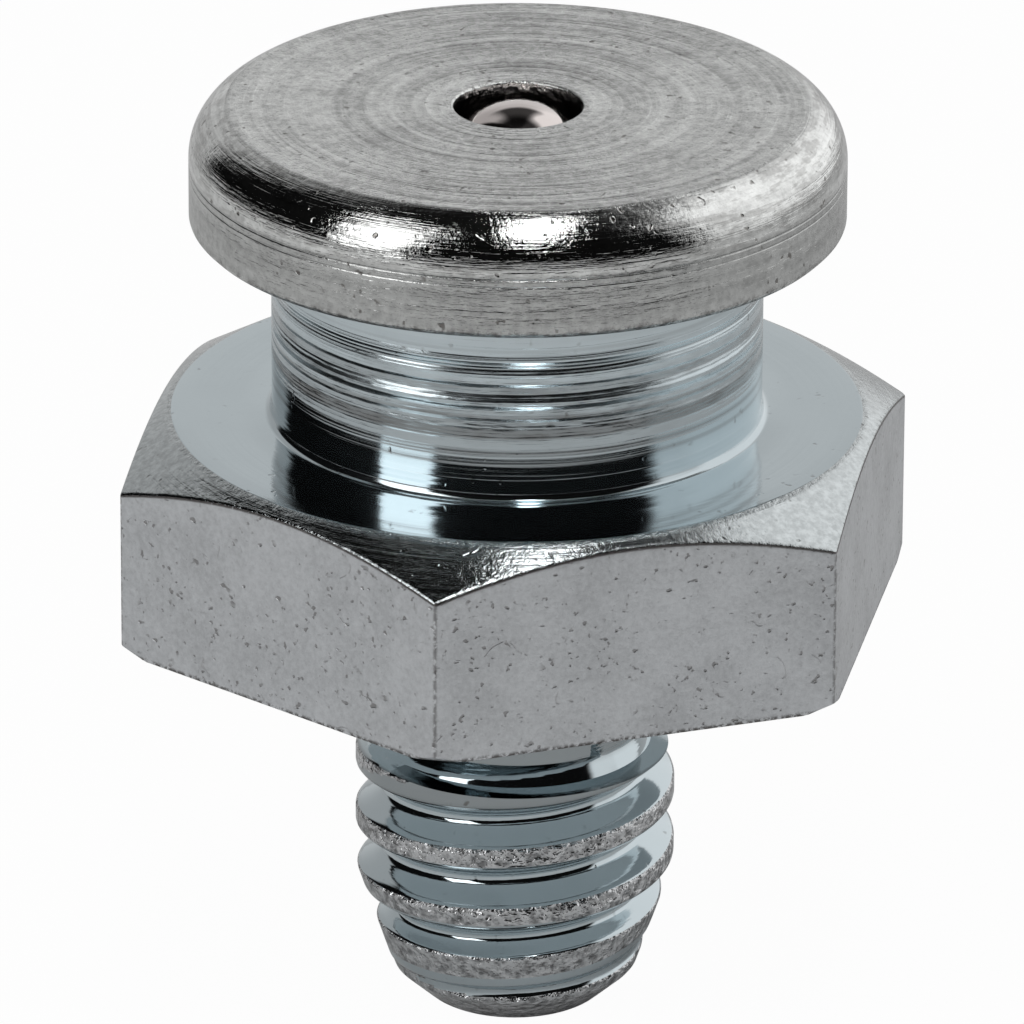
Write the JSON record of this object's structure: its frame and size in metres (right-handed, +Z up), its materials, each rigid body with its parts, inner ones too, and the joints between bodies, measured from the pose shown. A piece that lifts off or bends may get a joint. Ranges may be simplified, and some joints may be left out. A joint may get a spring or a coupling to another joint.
{
  "type": "button head grease nipple",
  "caption": "Button head grease nipple: a round head and neck that a grease coupler hooks over, a wrench hexagon, a threaded shank, and a sprung ball that closes the inlet.",
  "frame": {"origin": "centre of the threaded tip's end face, on the axis", "axes": "+Z up the axis from the tip to the head, +X through a corner of the hexagon"},
  "size_m": [0.0162, 0.014, 0.0186],
  "materials": {
    "plated_steel": "bright zinc plate over turned and drawn steel",
    "ball_steel": "polished bearing ball",
    "spring_steel": "drawn spring wire"
  },
  "bodies": {
    "body": {"nipple_body": "plated_steel", "check_spring": "spring_steel"},
    "ball": {"check_ball": "ball_steel"}
  },
  "joints": [
    {"name": "ball_press", "type": "slide", "parent": "body", "child": "ball", "axis": [0, 0, -1], "range_m": [0, 0.0009], "stiffness_N_per_m": 650, "springref_m": -0.002, "deforming": ["check_spring"]}
  ]
}
